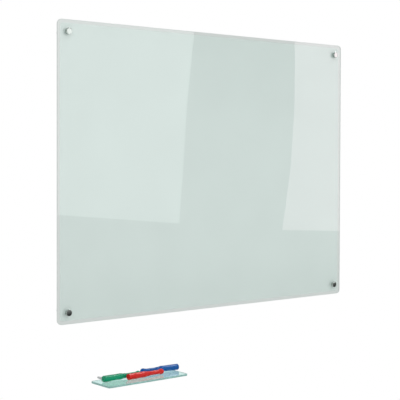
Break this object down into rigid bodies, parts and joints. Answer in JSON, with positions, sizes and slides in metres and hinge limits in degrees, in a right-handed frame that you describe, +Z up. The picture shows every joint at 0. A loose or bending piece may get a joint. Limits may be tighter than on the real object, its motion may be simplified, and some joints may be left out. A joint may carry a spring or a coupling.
{
  "type": "glass whiteboard",
  "caption": "Wall-mounted glass whiteboard on chrome stand-off fixings with unscrewing caps, over a clamped glass pen tray that holds capped dry-wipe markers.",
  "frame": {"origin": "on the wall plane behind the middle of the board, at the mount wall_plane", "axes": "+X to the right along the board as seen from the room, +Y into the wall, +Z up; the writing face looks along -Y"},
  "size_m": [1.2, 0.1425, 1.0975],
  "materials": {
    "clear_glass": "clear toughened float glass with a pale green cast, polished edges",
    "white_coated_steel": "smooth white coil coating",
    "chrome": "polished chrome plate",
    "zinc_steel": "bright zinc plate",
    "clear_pad": "clear soft plastic",
    "grey_nylon": "moulded nylon",
    "ink_wadding": "pressed fibre",
    "green_plastic": "glossy moulded polypropylene",
    "red_plastic": "glossy moulded polypropylene",
    "blue_plastic": "glossy moulded polypropylene",
    "green_felt": "pressed felt soaked with ink",
    "red_felt": "pressed felt soaked with ink",
    "blue_felt": "pressed felt soaked with ink"
  },
  "bodies": {
    "board": {"glass_panel": "clear_glass", "backing_sheet": "white_coated_steel", "top_left_barrel": "chrome", "top_left_rear_washer": "clear_pad", "top_left_sleeve": "clear_pad", "top_left_wall_screw": "zinc_steel", "top_left_wall_plug": "grey_nylon", "top_right_barrel": "chrome", "top_right_rear_washer": "clear_pad", "top_right_sleeve": "clear_pad", "top_right_wall_screw": "zinc_steel", "top_right_wall_plug": "grey_nylon", "bottom_left_barrel": "chrome", "bottom_left_rear_washer": "clear_pad", "bottom_left_sleeve": "clear_pad", "bottom_left_wall_screw": "zinc_steel", "bottom_left_wall_plug": "grey_nylon", "bottom_right_barrel": "chrome", "bottom_right_rear_washer": "clear_pad", "bottom_right_sleeve": "clear_pad", "bottom_right_wall_screw": "zinc_steel", "bottom_right_wall_plug": "grey_nylon", "tray_glass": "clear_glass", "tray_left_bracket": "chrome", "tray_left_liner": "clear_pad", "tray_left_clamp_screw": "zinc_steel", "tray_left_wall_screw": "zinc_steel", "tray_left_wall_plug": "grey_nylon", "tray_right_bracket": "chrome", "tray_right_liner": "clear_pad", "tray_right_clamp_screw": "zinc_steel", "tray_right_wall_screw": "zinc_steel", "tray_right_wall_plug": "grey_nylon"},
    "top_left_washer": {"top_left_front_washer": "clear_pad"},
    "top_left_cap": {"top_left_cap": "chrome", "top_left_stud": "zinc_steel"},
    "top_right_washer": {"top_right_front_washer": "clear_pad"},
    "top_right_cap": {"top_right_cap": "chrome", "top_right_stud": "zinc_steel"},
    "bottom_left_washer": {"bottom_left_front_washer": "clear_pad"},
    "bottom_left_cap": {"bottom_left_cap": "chrome", "bottom_left_stud": "zinc_steel"},
    "bottom_right_washer": {"bottom_right_front_washer": "clear_pad"},
    "bottom_right_cap": {"bottom_right_cap": "chrome", "bottom_right_stud": "zinc_steel"},
    "green_marker": {"green_marker_barrel": "green_plastic", "green_marker_end_plug": "green_plastic", "green_marker_wadding": "ink_wadding", "green_marker_nib": "green_felt"},
    "green_marker_cap": {"green_marker_cap": "green_plastic"},
    "red_marker": {"red_marker_barrel": "red_plastic", "red_marker_end_plug": "red_plastic", "red_marker_wadding": "ink_wadding", "red_marker_nib": "red_felt"},
    "red_marker_cap": {"red_marker_cap": "red_plastic"},
    "blue_marker": {"blue_marker_barrel": "blue_plastic", "blue_marker_end_plug": "blue_plastic", "blue_marker_wadding": "ink_wadding", "blue_marker_nib": "blue_felt"},
    "blue_marker_cap": {"blue_marker_cap": "blue_plastic"}
  },
  "joints": [
    {"name": "top_left_cap_travel", "type": "slide", "parent": "board", "child": "top_left_washer", "axis": [0, -1, 0], "range_m": [0, 0.0075]},
    {"name": "top_left_cap_turn", "type": "hinge", "parent": "top_left_washer", "child": "top_left_cap", "pos_m": [-0.565, -0.027, 0.415], "axis": [0, -1, 0], "range_deg": [0, 2160]},
    {"name": "top_right_cap_travel", "type": "slide", "parent": "board", "child": "top_right_washer", "axis": [0, -1, 0], "range_m": [0, 0.0075]},
    {"name": "top_right_cap_turn", "type": "hinge", "parent": "top_right_washer", "child": "top_right_cap", "pos_m": [0.565, -0.027, 0.415], "axis": [0, -1, 0], "range_deg": [0, 2160]},
    {"name": "bottom_left_cap_travel", "type": "slide", "parent": "board", "child": "bottom_left_washer", "axis": [0, -1, 0], "range_m": [0, 0.0075]},
    {"name": "bottom_left_cap_turn", "type": "hinge", "parent": "bottom_left_washer", "child": "bottom_left_cap", "pos_m": [-0.565, -0.027, -0.415], "axis": [0, -1, 0], "range_deg": [0, 2160]},
    {"name": "bottom_right_cap_travel", "type": "slide", "parent": "board", "child": "bottom_right_washer", "axis": [0, -1, 0], "range_m": [0, 0.0075]},
    {"name": "bottom_right_cap_turn", "type": "hinge", "parent": "bottom_right_washer", "child": "bottom_right_cap", "pos_m": [0.565, -0.027, -0.415], "axis": [0, -1, 0], "range_deg": [0, 2160]},
    {"name": "green_marker_lift", "type": "slide", "parent": "board", "child": "green_marker", "axis": [0, 0, 1], "range_m": [0, 0.15]},
    {"name": "green_marker_cap_pull", "type": "slide", "parent": "green_marker", "child": "green_marker_cap", "axis": [1, 0, 0], "range_m": [0, 0.026]},
    {"name": "red_marker_lift", "type": "slide", "parent": "board", "child": "red_marker", "axis": [0, 0, 1], "range_m": [0, 0.15]},
    {"name": "red_marker_cap_pull", "type": "slide", "parent": "red_marker", "child": "red_marker_cap", "axis": [0.9994, 0.0349, 0], "range_m": [0, 0.026]},
    {"name": "blue_marker_lift", "type": "slide", "parent": "board", "child": "blue_marker", "axis": [0, 0, 1], "range_m": [0, 0.15]},
    {"name": "blue_marker_cap_pull", "type": "slide", "parent": "blue_marker", "child": "blue_marker_cap", "axis": [-0.9962, 0.0872, 0], "range_m": [0, 0.026]}
  ],
  "couplings": [
    {"joint": "top_left_cap_turn", "follows": "top_left_cap_travel", "rad_per_m": 5026.5},
    {"joint": "top_right_cap_turn", "follows": "top_right_cap_travel", "rad_per_m": 5026.5},
    {"joint": "bottom_left_cap_turn", "follows": "bottom_left_cap_travel", "rad_per_m": 5026.5},
    {"joint": "bottom_right_cap_turn", "follows": "bottom_right_cap_travel", "rad_per_m": 5026.5}
  ]
}
